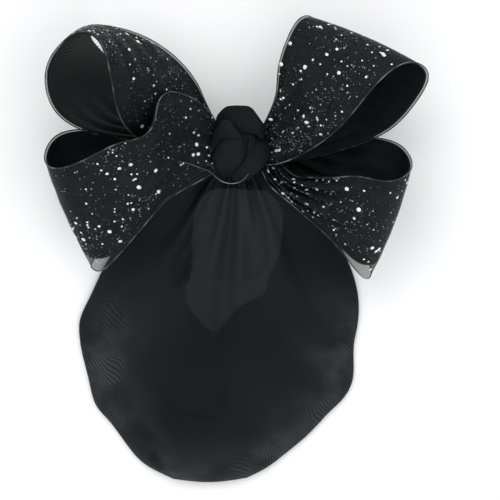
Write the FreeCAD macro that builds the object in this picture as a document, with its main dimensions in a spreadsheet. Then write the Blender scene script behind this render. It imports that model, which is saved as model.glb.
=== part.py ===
"""Hair bow barrette with a snood, as a parametric document in millimetres.

Frame: the bow lies on its back. +Z points away from the head, +Y to the top of the bow and
+X along the barrette. The origin is the middle of the barrette base's underside, where hair
is clamped. Everything rests on the level table_level.
"""
import FreeCAD, Part
import Sketcher
import math
import os

Vec = FreeCAD.Vector

os.makedirs("parts", exist_ok=True)
doc = FreeCAD.newDocument("hair_bow")

# ---------------------------------------------------------------- driving dimensions (mm)
SIZES = {
    "table_level": -10.5,
    # barrette
    "base_length": 73.0,
    "base_width": 10.0,
    "base_thick": 0.8,
    "arch_radius": 125.0,
    "cover_thick": 0.3,
    "cover_gap": 0.05,
    "cover_length": 63.6,
    "cover_width": 9.6,
    "cheek_length": 5.0,
    "cheek_thick": 0.7,
    "web_level": -5.6,
    "sew_hole_radius": 1.1,
    "sew_hole_place": 28.0,
    "pin_place": -34.5,
    "pin_level": -8.9,
    "pin_radius": 0.7,
    "pin_length": 10.8,
    "pin_head_radius": 1.15,
    "pin_head_thick": 0.35,
    "running_gap": 0.05,
    "arm_radius": 950.0,
    "arm_middle": 0.5,
    "arm_top_level": -7.9,
    "arm_thick": 0.9,
    "arm_width": 4.6,
    "knuckle_radius": 1.45,
    "arm_head_start": 29.5,
    "arm_head_end": 36.6,
    "arm_head_width": 8.2,
    "window_start": 31.4,
    "window_end": 35.6,
    "window_width": 5.8,
    "tension_radius": 200.0,
    "tension_middle": -4.0,
    "tension_top_level": -2.5,
    "tension_thick": 0.35,
    "tension_width": 5.0,
    "tension_start": -30.0,
    "tension_end": 24.0,
    "saddle_start": 31.4,
    "saddle_length": 4.8,
    "saddle_width": 7.2,
    "saddle_top_level": -5.7,
    "saddle_thick": 0.5,
    "rivet_place": 33.8,
    "rivet_radius": 0.8,
    "rivet_head_radius": 1.3,
    "prong_start": 32.2,
    "prong_length": 3.0,
    "prong_place": 2.0,
    "prong_thick": 0.5,
    "prong_top_level": -6.35,
    "prong_bottom_level": -10.3,
    "barb_depth": 0.25,
    "barb_height": 0.4,
    # ribbons
    "ribbon_thick": 0.3,
    "ribbon_pitch": 0.7,
    "edge_wire_side": 0.5,
    # knot and band
    "thread_width": 6.0,
    "thread_depth": 10.8,
    "thread_thick": 0.4,
    "thread_bottom": -0.5,
    "thread_top": 11.0,
    "wrap_width": 9.0,
    "wrap_depth": 13.2,
    "wrap_thick": 0.7,
    "wrap_bottom": -1.3,
    "wrap_top": 12.0,
    "knot_length": 18.4,
    "knot_height": 20.0,
    "knot_depth": 9.0,
    "knot_middle_x": -0.6,
    "knot_middle_y": 0.5,
    "knot_middle_level": 15.0,
    "knot_base_level": 12.1,
    "pad_length": 9.0,
    "pad_width": 7.6,
    "pad_thick": 0.5,
    "pad_level": 1.2,
    # snood
    "tape_level": 1.25,
    "tape_thick": 0.5,
    "tape_left": -16.0,
    "tape_right": 13.0,
    "tape_front": -8.8,
    "tape_back": 3.0,
    "tape_notch_half": 5.2,
    "tape_notch_edge": -7.0,
    "stitch_radius": 0.2,
    "stitch_length": 2.2,
    "stitch_place_y": -7.9,
    "bag_wall": 0.5,
    "hem_width": 2.4,
    "hem_thick": 1.4,
    "elastic_width": 1.4,
    "elastic_thick": 0.6,
}

sheet = doc.addObject("Spreadsheet::Sheet", "sizes")
for row, (alias, value) in enumerate(SIZES.items(), start=1):
    sheet.set(f"A{row}", alias)
    sheet.set(f"B{row}", str(value))
    sheet.setAlias(f"B{row}", alias)
doc.recompute()


def size(alias):
    """The value of one driving dimension."""
    return float(sheet.get(alias))


# ---------------------------------------------------------------- helpers
subparts = []


def keep(obj, name):
    """Names a finished sub-part and lists it for export."""
    obj.Label = name
    subparts.append(obj)
    return obj


def new_body(name):
    return doc.addObject("PartDesign::Body", name + "_body")


def origin_plane(body, role):
    return next(f for f in body.Origin.OriginFeatures if f.Role == role)


def new_sketch(body, name, role):
    """An empty sketch on one of the body's own origin planes. On XZ, sketch Y is global Z."""
    sketch = body.newObject("Sketcher::SketchObject", name)
    sketch.AttachmentSupport = [(origin_plane(body, role), "")]
    sketch.MapMode = "FlatFace"
    return sketch


def bind(sketch, constraint, expression):
    """Adds a dimension to a sketch and ties it to the spreadsheet."""
    index = sketch.addConstraint(constraint)
    sketch.setExpression(f"Constraints[{index}]", expression)


def cell(text):
    """Turns words like 'arm_width / 2' into an expression on the spreadsheet."""
    words = text.replace("(", " ( ").replace(")", " ) ").split()
    return " ".join("sizes." + word if word in SIZES else word for word in words)


def worked_out(text):
    """The present value of an expression written in dimension names."""
    return float(sheet.evalExpression(cell(text)))


def place_point(sketch, geometry, vertex, x_text, y_text):
    """Ties one vertex to two signed coordinates."""
    at_x = worked_out(x_text)
    at_y = worked_out(y_text)
    bind(sketch, Sketcher.Constraint("DistanceX", -1, 1, geometry, vertex, at_x), cell(x_text))
    bind(sketch, Sketcher.Constraint("DistanceY", -1, 1, geometry, vertex, at_y), cell(y_text))


def rectangle(sketch, left, right, low, high):
    """A rectangle whose four sides are expressions in dimension names."""
    x0, x1, y0, y1 = (worked_out(text) for text in (left, right, low, high))
    corners = [Vec(x0, y0), Vec(x1, y0), Vec(x1, y1), Vec(x0, y1)]
    first = sketch.GeometryCount
    for i in range(4):
        sketch.addGeometry(Part.LineSegment(corners[i], corners[(i + 1) % 4]))
    for i in range(4):
        sketch.addConstraint(Sketcher.Constraint("Coincident", first + i, 2, first + (i + 1) % 4, 1))
    for i in (0, 2):
        sketch.addConstraint(Sketcher.Constraint("Horizontal", first + i))
        sketch.addConstraint(Sketcher.Constraint("Vertical", first + i + 1))
    place_point(sketch, first, 1, left, low)
    place_point(sketch, first + 2, 1, right, high)


def circle(sketch, x_text, y_text, radius_text):
    """A circle with its centre and radius tied to the spreadsheet."""
    centre = Vec(worked_out(x_text), worked_out(y_text))
    index = sketch.GeometryCount
    sketch.addGeometry(Part.Circle(centre, Vec(0, 0, 1), worked_out(radius_text)))
    bind(sketch, Sketcher.Constraint("Radius", index, worked_out(radius_text)), cell(radius_text))
    place_point(sketch, index, 3, x_text, y_text)


def arc_strip(sketch, radius, thick, middle, top, left, right):
    """A bent strip seen from its side: two arcs about one centre, closed by upright ends.

    radius is the underside's, top is the level of the underside's highest point.
    """
    r0 = worked_out(radius)
    r1 = r0 + worked_out(thick)
    centre_x = worked_out(middle)
    centre_y = worked_out(top) - r0
    ends = (worked_out(left), worked_out(right))
    arcs = []
    for r in (r0, r1):
        angle_right = math.asin((ends[1] - centre_x) / r)
        angle_left = math.asin((ends[0] - centre_x) / r)
        round_edge = Part.Circle(Vec(centre_x, centre_y), Vec(0, 0, 1), r)
        quarter = math.pi / 2
        arcs.append(Part.ArcOfCircle(round_edge, quarter - angle_right, quarter - angle_left))
    under = sketch.addGeometry(arcs[0])
    over = sketch.addGeometry(arcs[1])
    right_end = sketch.addGeometry(Part.LineSegment(arcs[0].StartPoint, arcs[1].StartPoint))
    left_end = sketch.addGeometry(Part.LineSegment(arcs[0].EndPoint, arcs[1].EndPoint))
    for line, vertex in ((right_end, 1), (left_end, 2)):
        sketch.addConstraint(Sketcher.Constraint("Coincident", line, 1, under, vertex))
        sketch.addConstraint(Sketcher.Constraint("Coincident", line, 2, over, vertex))
        sketch.addConstraint(Sketcher.Constraint("Vertical", line))
    sketch.addConstraint(Sketcher.Constraint("Coincident", under, 3, over, 3))
    place_point(sketch, under, 3, middle, f"({top}) - ({radius})")
    bind(sketch, Sketcher.Constraint("Radius", under, r0), cell(radius))
    bind(sketch, Sketcher.Constraint("Radius", over, r1), cell(f"{radius} + {thick}"))
    for vertex, end in ((2, left), (1, right)):
        at = worked_out(end)
        bind(sketch, Sketcher.Constraint("DistanceX", -1, 1, under, vertex, at), cell(end))


def pad(body, sketch, length_text):
    """A pad as far to one side of the sketch plane as to the other."""
    feature = body.newObject("PartDesign::Pad", sketch.Name + "_pad")
    feature.Profile = sketch
    feature.Midplane = True
    feature.Length = worked_out(length_text)
    feature.setExpression("Length", cell(length_text))
    sketch.Visibility = False
    doc.recompute()
    return feature


def pocket(body, sketch, length_text):
    """A pocket to both sides of the sketch plane; stops the build if it cuts nothing."""
    before = body.Shape.Volume
    feature = body.newObject("PartDesign::Pocket", sketch.Name + "_pocket")
    feature.Profile = sketch
    feature.Midplane = True
    feature.Length = worked_out(length_text)
    feature.setExpression("Length", cell(length_text))
    doc.recompute()
    if body.Shape.Volume > before - 1e-3:
        raise ValueError(f"{sketch.Name} cuts nothing")
    return feature


def feature_part(name, shape):
    """A sub-part whose shape is worked out in code from the sheet's sizes."""
    obj = doc.addObject("Part::Feature", name + "_feature")
    obj.Shape = shape
    obj.Placement = FreeCAD.Placement()
    return keep(obj, name)


def bound_box(name, left, front, bottom, length, width, height):
    """A Part::Box whose corner and sides are expressions in dimension names."""
    box = doc.addObject("Part::Box", name)
    for key, text in (("Length", length), ("Width", width), ("Height", height)):
        setattr(box, key, worked_out(text))
        box.setExpression(key, cell(text))
    for key, text in (("x", left), ("y", front), ("z", bottom)):
        box.setExpression(f"Placement.Base.{key}", cell(text))
    return box


# ---------------------------------------------------------------- barrette
def barrette_base():
    body = new_body("barrette_base")
    strip = new_sketch(body, "base_strip", "XZ_Plane")
    arc_strip(strip, "arch_radius", "base_thick", "0", "0", "0 - base_length / 2", "base_length / 2")
    pad(body, strip, "base_width")
    ends = new_sketch(body, "base_cheeks", "XZ_Plane")
    web_top = "web_level + base_thick"
    rectangle(ends, "0 - base_length / 2", "0 - base_length / 2 + cheek_length", "table_level", web_top)
    rectangle(ends, "base_length / 2 - cheek_length", "base_length / 2", "table_level", web_top)
    pad(body, ends, "base_width")
    between = new_sketch(body, "cheek_gap", "XZ_Plane")
    rectangle(between, "0 - base_length", "base_length", "table_level - 1", "web_level")
    pocket(body, between, "base_width - cheek_thick - cheek_thick")
    holes = new_sketch(body, "sew_holes", "XY_Plane")
    circle(holes, "0 - sew_hole_place", "0", "sew_hole_radius")
    circle(holes, "sew_hole_place", "0", "sew_hole_radius")
    circle(holes, "rivet_place", "0", "rivet_radius + 0.02")
    pocket(body, holes, "arch_radius")
    pin_hole = new_sketch(body, "pin_holes", "XZ_Plane")
    circle(pin_hole, "pin_place", "pin_level", "pin_radius + 0.02")
    pocket(body, pin_hole, "base_width + 2")
    keep(body, "barrette_base")


def barrette_cover():
    body = new_body("barrette_cover")
    strip = new_sketch(body, "cover_strip", "XZ_Plane")
    radius = "arch_radius + base_thick + cover_gap"
    top = "base_thick + cover_gap"
    half = "cover_length / 2"
    arc_strip(strip, radius, "cover_thick", "0", top, f"0 - {half}", half)
    pad(body, strip, "cover_width")
    keep(body, "barrette_cover")


def clasp_arm():
    body = new_body("clasp_arm")
    bar = new_sketch(body, "arm_bar", "XZ_Plane")
    under_radius = "arm_radius - arm_thick"
    under_top = "arm_top_level - arm_thick"
    arc_strip(bar, under_radius, "arm_thick", "arm_middle", under_top, "pin_place", "arm_head_start + 1")
    pad(body, bar, "arm_width")
    head = new_sketch(body, "arm_head", "XZ_Plane")
    arc_strip(head, under_radius, "arm_thick", "arm_middle", under_top, "arm_head_start", "arm_head_end")
    pad(body, head, "arm_head_width")
    knuckle = new_sketch(body, "arm_knuckle", "XZ_Plane")
    circle(knuckle, "pin_place", "pin_level", "knuckle_radius")
    pad(body, knuckle, "arm_head_width")
    window = new_sketch(body, "arm_window", "XY_Plane")
    half_window = "window_width / 2"
    rectangle(window, "window_start", "window_end", f"0 - {half_window}", half_window)
    pocket(body, window, "base_length")
    bore = new_sketch(body, "arm_bore", "XZ_Plane")
    circle(bore, "pin_place", "pin_level", "pin_radius + running_gap")
    pocket(body, bore, "base_width")
    keep(body, "clasp_arm")


def hinge_pin():
    body = new_body("hinge_pin")
    shank = new_sketch(body, "pin_shank", "XZ_Plane")
    circle(shank, "pin_place", "pin_level", "pin_radius")
    pad(body, shank, "pin_length")
    heads = new_sketch(body, "pin_heads", "XZ_Plane")
    circle(heads, "pin_place", "pin_level", "pin_head_radius")
    pad(body, heads, "pin_length")
    middle = new_sketch(body, "pin_middle", "XZ_Plane")
    circle(middle, "pin_place", "pin_level", "pin_head_radius + 1")
    circle(middle, "pin_place", "pin_level", "pin_radius")
    pocket(body, middle, "pin_length - pin_head_thick - pin_head_thick")
    keep(body, "hinge_pin")


def tension_bar():
    body = new_body("tension_bar")
    strip = new_sketch(body, "tension_strip", "XZ_Plane")
    under_radius = "tension_radius - tension_thick"
    under_top = "tension_top_level - tension_thick"
    ends = ("tension_start", "tension_end")
    arc_strip(strip, under_radius, "tension_thick", "tension_middle", under_top, *ends)
    pad(body, strip, "tension_width")
    keep(body, "tension_bar")


def catch_saddle():
    body = new_body("catch_saddle")
    plate = new_sketch(body, "saddle_plate", "XZ_Plane")
    right = "saddle_start + saddle_length"
    bottom = "saddle_top_level - saddle_thick"
    rectangle(plate, "saddle_start", right, bottom, "saddle_top_level")
    pad(body, plate, "saddle_width")
    hole = new_sketch(body, "saddle_hole", "XY_Plane")
    circle(hole, "rivet_place", "0", "rivet_radius + 0.02")
    pocket(body, hole, "base_length")
    keep(body, "catch_saddle")


def catch_rivet():
    body = new_body("catch_rivet")
    profile = new_sketch(body, "rivet_profile", "XZ_Plane")
    bottom = "saddle_top_level - saddle_thick - 0.02"
    base_top = -size("arch_radius") + math.sqrt(
        (size("arch_radius") + size("base_thick")) ** 2 - size("rivet_place") ** 2
    )
    points = [
        (0, worked_out(bottom) - 0.45),
        (size("rivet_head_radius") * 0.6, worked_out(bottom) - 0.45),
        (size("rivet_head_radius"), worked_out(bottom)),
        (size("rivet_radius"), worked_out(bottom)),
        (size("rivet_radius"), base_top + 0.35),
        (size("rivet_radius") * 1.4, base_top + 0.35),
        (size("rivet_radius") * 0.8, base_top + 0.75),
        (0, base_top + 0.75),
    ]
    at = size("rivet_place")
    count = len(points)
    for i in range(count):
        start = Vec(at + points[i][0], points[i][1])
        end = Vec(at + points[(i + 1) % count][0], points[(i + 1) % count][1])
        profile.addGeometry(Part.LineSegment(start, end))
    for i in range(count):
        profile.addConstraint(Sketcher.Constraint("Coincident", i, 2, (i + 1) % count, 1))
        profile.addConstraint(Sketcher.Constraint("Block", i))
    axis = new_sketch(body, "rivet_axis", "XZ_Plane")
    line = axis.addGeometry(Part.LineSegment(Vec(at, 0), Vec(at, 1)))
    place_point(axis, line, 1, "rivet_place", "0")
    place_point(axis, line, 2, "rivet_place", "1")
    turn = body.newObject("PartDesign::Revolution", "rivet_turn")
    turn.Profile = profile
    turn.ReferenceAxis = (axis, ["Edge1"])
    turn.Angle = 360
    doc.recompute()
    keep(body, "catch_rivet")


def catch_prong(name, side):
    """A spring prong through the arm's window, its barb turned outward under the arm's head."""
    body = new_body(name)
    profile = new_sketch(body, name + "_side", "YZ_Plane")
    inner = size("prong_place")
    outer = inner + size("prong_thick")
    barb = outer + size("barb_depth")
    top = size("prong_top_level")
    bottom = size("prong_bottom_level")
    points = [
        (inner, top),
        (inner, bottom),
        (outer, bottom),
        (barb, bottom + size("barb_height") * 0.5),
        (outer, bottom + size("barb_height")),
        (outer, top),
    ]
    for i, (y, z) in enumerate(points):
        y_next, z_next = points[(i + 1) % len(points)]
        profile.addGeometry(Part.LineSegment(Vec(side * y, z), Vec(side * y_next, z_next)))
        profile.addConstraint(Sketcher.Constraint("Block", i))
    tine = body.newObject("PartDesign::Pad", name + "_pad")
    tine.Profile = profile
    tine.Length = size("prong_length")
    tine.setExpression("Length", "sizes.prong_length")
    doc.recompute()
    body.Placement = FreeCAD.Placement(Vec(size("prong_start"), 0, 0), FreeCAD.Rotation())
    body.setExpression("Placement.Base.x", "sizes.prong_start")
    keep(body, name)


# ---------------------------------------------------------------- ribbons
# Each ribbon goes from its overlap under the knot out along the back of its first loop,
# round the loop's end, over the front of the knot and round its second loop the same way.
# A station is the point of the ribbon's upper edge and the point of its lower edge.
RIBBON_A = [
    ((-0.5, 4.6, 4.2), (-0.5, -4.4, 4.2)),
    ((-4.8, 4.7, 4.1), (-5.2, -4.2, 4.6)),
    ((-13, 7.0, 3.0), (-17, -1.0, 8.4)),
    ((-23, 9.5, 0.5), (-29, 1.6, 13)),
    ((-34, 12.5, -1.5), (-43, 4.2, 21)),
    ((-42, 19, -2.5), (-52.3, 10.5, 27.5)),
    ((-44.5, 28, -1.5), (-54.4, 21, 33)),
    ((-40, 34.2, 1.5), (-48.5, 29.8, 37)),
    ((-31, 33.3, 8), (-38.5, 25.6, 39.5)),
    ((-22, 28.8, 12), (-35.6, 15.5, 37)),
    ((-14.5, 21.5, 12), (-32, 5.5, 27)),
    ((-10, 14.0, 10.0), (-21.5, -0.8, 15.2)),
    ((-6.6, 7.0, 7.6), (-10, -3.4, 8.4)),
    ((-4.6, 4.6, 7.2), (-4.8, -4.5, 7.3)),
    ((0, 4.6, 7.2), (0, -4.6, 7.2)),
    ((4.6, 3.8, 7.2), (4.8, -4.8, 7.2)),
    ((9, -1.5, 8.2), (7.8, -9.4, 8.0)),
    ((14.5, -7.6, 11.8), (12.4, -14.0, 10.2)),
    ((20, -8.5, 18), (17.4, -18.6, 12.5)),
    ((26, -8.6, 24), (22.8, -23.4, 14.2)),
    ((33.5, -8.4, 29), (28.5, -29, 14.8)),
    ((41.5, -9.8, 30.5), (33, -34.8, 12.5)),
    ((47.3, -7.6, 26), (35.9, -37.2, 8.5)),
    ((48.6, -3.6, 18), (37.4, -35.2, 5.0)),
    ((44, 1.6, 10.8), (33.5, -26.5, 3.8)),
    ((31, 3.6, 6.0), (23, -17, 3.4)),
    ((18, 4.6, 3.4), (13.5, -9.6, 3.0)),
    ((4.8, 4.6, 2.4), (4.8, -4.6, 2.5)),
    ((0.5, 4.6, 2.4), (0.5, -4.4, 2.4)),
]
RIBBON_B = [
    ((-0.5, 4.6, 2.4), (-0.5, -4.4, 2.4)),
    ((-4.8, 4.6, 2.4), (-4.8, -4.6, 2.5)),
    ((-14, 4.6, 2.6), (-12.5, -8.4, 3.2)),
    ((-25, 4.8, 3.2), (-23.5, -14, 3.8)),
    ((-41, 5.4, 5.2), (-36.5, -24.5, 4.0)),
    ((-52.4, 3.4, 9.6), (-42.2, -32.6, 4.8)),
    ((-55.4, -2.5, 17.2), (-42, -34.4, 6.6)),
    ((-52.6, -6.0, 26), (-39.4, -34.9, 9)),
    ((-44.5, -4.2, 30.5), (-34, -29.9, 14)),
    ((-33.8, 1.0, 33), (-27, -21.9, 16)),
    ((-25.4, 7.0, 30.5), (-19.2, -13.9, 15.5)),
    ((-17.5, 13.2, 22), (-12, -9.8, 12.8)),
    ((-8.6, 9.2, 13.0), (-7.0, -6.8, 10.8)),
    ((-4.6, 4.7, 10.0), (-4.6, -4.8, 9.9)),
    ((0, 4.6, 9.6), (0, -4.6, 9.6)),
    ((4.6, 4.7, 9.9), (4.8, -4.6, 10.0)),
    ((7.6, 9.0, 12.2), (10.5, -4.6, 13.0)),
    ((10, 15.5, 15.0), (20, -0.6, 21.0)),
    ((11, 22.8, 17.5), (29.5, 7.0, 31)),
    ((13.2, 30.2, 18.5), (37.5, 16.6, 36)),
    ((16.6, 36.2, 17.5), (46.6, 23.4, 35)),
    ((20.2, 37.2, 11.5), (53.0, 20.8, 26.5)),
    ((21, 33.5, 5.0), (50.4, 13.6, 19.5)),
    ((19.5, 25.5, 2.4), (42.6, 5.2, 14.5)),
    ((14.5, 16, 2.6), (29, -0.6, 10.8)),
    ((9, 9, 3.6), (14, -3.8, 6.8)),
    ((4.8, 4.7, 4.1), (5.2, -4.4, 4.5)),
    ((0.5, 4.6, 4.2), (0.5, -4.4, 4.2)),
]
SAMPLES_PER_STATION = 3


def edge_curve(points, knots):
    curve = Part.BSplineCurve()
    curve.interpolate(Points=[Vec(*p) for p in points], Parameters=knots)
    return curve


def ribbon_frames(stations):
    """Points of both edges and the direction into the loop, evenly along the ribbon."""
    knots = [0.0]
    for (p0, q0), (p1, q1) in zip(stations, stations[1:]):
        step = 0.5 * ((Vec(*p1) - Vec(*p0)).Length + (Vec(*q1) - Vec(*q0)).Length)
        knots.append(knots[-1] + math.sqrt(step))
    upper = edge_curve([p for p, q in stations], knots)
    lower = edge_curve([q for p, q in stations], knots)
    count = SAMPLES_PER_STATION * (len(stations) - 1)
    frames = []
    for i in range(count + 1):
        at = knots[-1] * i / count
        p = upper.value(at)
        q = lower.value(at)
        along = upper.tangent(at)[0] + lower.tangent(at)[0]
        across = (q - p).normalize()
        inward = along.cross(across).normalize()
        frames.append((p, q, inward, across))
    return frames


def smooth_edge(points):
    """A smooth edge through points, with the same even parameters on every edge."""
    curve = Part.BSplineCurve()
    curve.interpolate(Points=points, Parameters=[float(i) for i in range(len(points))])
    return curve.toShape()


def strip_solid(rows):
    """A closed bar whose four long corners run through the four columns of points."""
    corners = [[row[k] for row in rows] for k in range(4)]
    long_edges = [smooth_edge(points) for points in corners]
    faces = [Part.makeRuledSurface(long_edges[k], long_edges[(k + 1) % 4]) for k in range(4)]
    for end in (0, -1):
        ring = [corners[k][end] for k in range(4)]
        first = Part.makeLine(ring[0], ring[1])
        second = Part.makeLine(ring[3], ring[2])
        faces.append(Part.makeRuledSurface(first, second))
    shell = Part.Shell(faces)
    shell.sewShape()
    solid = Part.Solid(shell)
    if solid.Volume < 0:
        solid.reverse()
    return solid


def ribbon(frames, inset, thick, narrow):
    """A band between two depths inside the loop; narrow pulls both of its edges in."""
    rows = []
    for p, q, inward, across in frames:
        upper = p + across * narrow
        lower = q - across * narrow
        near = inward * inset
        far = inward * (inset + thick)
        rows.append((upper + near, lower + near, lower + far, upper + far))
    return strip_solid(rows)


def edge_wire(frames, side, which, thick):
    """A square wire along one edge of the outer ribbon, touching its side face."""
    rows = []
    for p, q, inward, across in frames:
        edge = p if which == "upper" else q
        outward = across * (-side if which == "upper" else side)
        low = inward * (0.5 * (thick - side))
        high = inward * (0.5 * (thick + side))
        rows.append((edge + low, edge + outward + low, edge + outward + high, edge + high))
    return strip_solid(rows)


def ribbons():
    thick = size("ribbon_thick")
    pitch = size("ribbon_pitch")
    side = size("edge_wire_side")
    for letter, stations in (("a", RIBBON_A), ("b", RIBBON_B)):
        frames = ribbon_frames(stations)
        feature_part(f"glitter_ribbon_{letter}", ribbon(frames, 0.0, thick, side))
        feature_part(f"lining_ribbon_{letter}", ribbon(frames, pitch, thick, side))
        inset_frames = [(p + w * side, q - w * side, n, w) for p, q, n, w in frames]
        for which in ("upper", "lower"):
            wire = edge_wire(inset_frames, side, which, thick)
            feature_part(f"edge_wire_{letter}_{which}", wire)


# ---------------------------------------------------------------- knot, band and thread
def band_round(name, width, depth, thick, bottom, top):
    """A closed rectangular band in the YZ plane, round the bow and the barrette."""
    height = f"{top} - {bottom}"
    outer = bound_box(
        name + "_outer", f"0 - {width} / 2", f"0 - {depth} / 2", bottom, width, depth, height
    )
    inner = bound_box(
        name + "_inner",
        f"0 - {width}",
        f"0 - {depth} / 2 + {thick}",
        f"{bottom} + {thick}",
        f"{width} + {width}",
        f"{depth} - {thick} - {thick}",
        f"{height} - {thick} - {thick}",
    )
    cut = doc.addObject("Part::Cut", name + "_cut")
    cut.Base = outer
    cut.Tool = inner
    keep(cut, name)


def center_knot():
    ball = doc.addObject("Part::Ellipsoid", "knot_ball")
    for key, text in (
        ("Radius1", "knot_depth / 2"),
        ("Radius2", "knot_length / 2"),
        ("Radius3", "knot_height / 2"),
    ):
        setattr(ball, key, worked_out(text))
        ball.setExpression(key, cell(text))
    for key, text in (("x", "knot_middle_x"), ("y", "knot_middle_y"), ("z", "knot_middle_level")):
        ball.setExpression(f"Placement.Base.{key}", cell(text))
    keep_box = bound_box(
        "knot_half",
        "knot_middle_x - knot_length",
        "knot_middle_y - knot_height",
        "knot_base_level",
        "knot_length + knot_length",
        "knot_height + knot_height",
        "knot_depth",
    )
    half = doc.addObject("Part::Common", "knot_common")
    half.Base = ball
    half.Tool = keep_box
    keep(half, "center_knot")


def glue_pad():
    box = bound_box(
        "glue_box",
        "0 - pad_length / 2",
        "0 - pad_width / 2",
        "pad_level",
        "pad_length",
        "pad_width",
        "pad_thick",
    )
    keep(box, "glue_pad")


# ---------------------------------------------------------------- snood
# Level by level from the header to the tip: Y, left edge, right edge, underside, upper side.
SNOOD_SECTIONS = [
    (-10.5, -15.5, 13.0, -0.9, 0.9),
    (-14, -20.0, 17.0, -4.5, 1.2),
    (-20, -27.5, 22.5, -9.5, 1.2),
    (-27, -34.5, 28.0, -10.5, 0.8),
    (-35, -39.7, 32.1, -10.5, 0.2),
    (-44, -44.0, 34.2, -10.5, -0.4),
    (-52, -46.5, 33.6, -10.5, -0.8),
    (-60, -45.2, 32.7, -10.5, -1.2),
    (-68, -43.2, 32.0, -10.5, -1.8),
    (-76, -40.4, 25.8, -10.5, -2.6),
    (-83, -34.2, 18.8, -10.5, -3.6),
    (-89, -29.0, 11.2, -10.5, -5.0),
    (-93, -23.4, 5.0, -10.5, -6.6),
    (-95.4, -18.0, 0.0, -10.5, -8.2),
]
# The mouth on the snood's back, inside the hem's ring.
MOUTH = [(-12, -26), (-13.5, -34), (-14.5, -43), (-7, -51), (1, -44), (8, -38), (11, -29), (9, -24)]


def pouch_section(y, left, right, low, high, inset):
    """One closed outline of the pouch across Y, flat below and crowned above."""
    x0 = left + 2.5 * inset
    x1 = right - 2.5 * inset
    z0 = low + inset
    z1 = high - inset
    seam = z0 + 0.45 * (z1 - z0)
    width = x1 - x0
    crown = Part.BSplineCurve()
    crown.interpolate([
        Vec(x0, y, seam),
        Vec(x0 + 0.14 * width, y, seam + 0.72 * (z1 - seam)),
        Vec(x0 + 0.5 * width, y, z1),
        Vec(x1 - 0.14 * width, y, seam + 0.72 * (z1 - seam)),
        Vec(x1, y, seam),
    ])
    flat_left = Vec(x0 + 0.09 * width, y, z0)
    flat_right = Vec(x1 - 0.09 * width, y, z0)
    under = [
        Part.makeLine(Vec(x1, y, seam), flat_right),
        Part.makeLine(flat_right, flat_left),
        Part.makeLine(flat_left, Vec(x0, y, seam)),
    ]
    return Part.Wire([crown.toShape()] + under)


def pouch(inset):
    sections = SNOOD_SECTIONS
    wires = []
    for i, (y, left, right, low, high) in enumerate(sections):
        end_inset = inset if i == 0 else -inset if i == len(sections) - 1 else 0.0
        wires.append(pouch_section(y - end_inset, left, right, low, high, inset))
    return Part.makeLoft(wires, True, True)


def ring_wire(grow, level):
    """The mouth's outline, grown outward by a distance, at one level."""
    middle = Vec(sum(x for x, y in MOUTH) / len(MOUTH), sum(y for x, y in MOUTH) / len(MOUTH))
    points = []
    for x, y in MOUTH:
        out = Vec(x, y) - middle
        out.normalize()
        points.append(Vec(x + out.x * grow, y + out.y * grow, level))
    curve = Part.BSplineCurve()
    curve.interpolate(Points=points, PeriodicFlag=True)
    return Part.Wire(curve.toShape())


def ring_prism(grow, low, high):
    return Part.Face(ring_wire(grow, low)).extrude(Vec(0, 0, high - low))


def snood():
    floor = size("table_level")
    wall = size("bag_wall")
    hem_width = size("hem_width")
    hem_top = floor + size("hem_thick")
    bag = pouch(0.0).cut(pouch(wall))
    bag = bag.cut(ring_prism(hem_width + 0.3, floor - 1, hem_top + 0.4))
    feature_part("snood_bag", bag)
    margin = 0.5 * (hem_width - size("elastic_width"))
    low = floor + 0.5 * (size("hem_thick") - size("elastic_thick"))
    high = low + size("elastic_thick")
    clear = 0.05
    hem = ring_prism(hem_width, floor, hem_top).cut(ring_prism(0.0, floor - 1, hem_top + 1))
    channel = ring_prism(hem_width - margin + clear, low - clear, high + clear)
    channel = channel.cut(ring_prism(margin - clear, low - 1, high + 1))
    feature_part("snood_hem", hem.cut(channel))
    elastic = ring_prism(hem_width - margin, low, high).cut(ring_prism(margin, low - 1, high + 1))
    feature_part("snood_elastic", elastic)


def header_tape():
    body = new_body("snood_header_tape")
    strip = new_sketch(body, "tape_strip", "XY_Plane")
    rectangle(strip, "tape_left", "tape_right", "tape_front", "tape_back")
    tape = body.newObject("PartDesign::Pad", "tape_pad")
    tape.Profile = strip
    tape.Length = size("tape_thick")
    tape.setExpression("Length", "sizes.tape_thick")
    doc.recompute()
    notch = new_sketch(body, "tape_notch", "XY_Plane")
    half = "tape_notch_half"
    rectangle(notch, f"0 - {half}", half, "tape_notch_edge", "tape_back + 1")
    pocket(body, notch, "tape_thick + tape_thick + 1")
    body.Placement = FreeCAD.Placement(Vec(0, 0, size("tape_level")), FreeCAD.Rotation())
    body.setExpression("Placement.Base.z", "sizes.tape_level")
    keep(body, "snood_header_tape")


STITCH_PLACES = [-13.0, -9.5, 7.0, 10.5]


def stitches():
    """Short thread bars on the tape, one group."""
    radius = size("stitch_radius")
    level = size("tape_level") + size("tape_thick") + radius
    bars = []
    for x in STITCH_PLACES:
        start = Vec(x, size("stitch_place_y"), level)
        bars.append(Part.makeCylinder(radius, size("stitch_length"), start, Vec(1, 0, 0)))
    feature_part("attachment_stitches", Part.makeCompound(bars))


barrette_base()
barrette_cover()
clasp_arm()
hinge_pin()
tension_bar()
catch_saddle()
catch_rivet()
catch_prong("catch_prong_upper", 1)
catch_prong("catch_prong_lower", -1)
ribbons()
thread = ("thread_width", "thread_depth", "thread_thick", "thread_bottom", "thread_top")
band_round("binding_thread", *thread)
band_round("center_wrap", "wrap_width", "wrap_depth", "wrap_thick", "wrap_bottom", "wrap_top")
center_knot()
glue_pad()
snood()
header_tape()
stitches()

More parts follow.
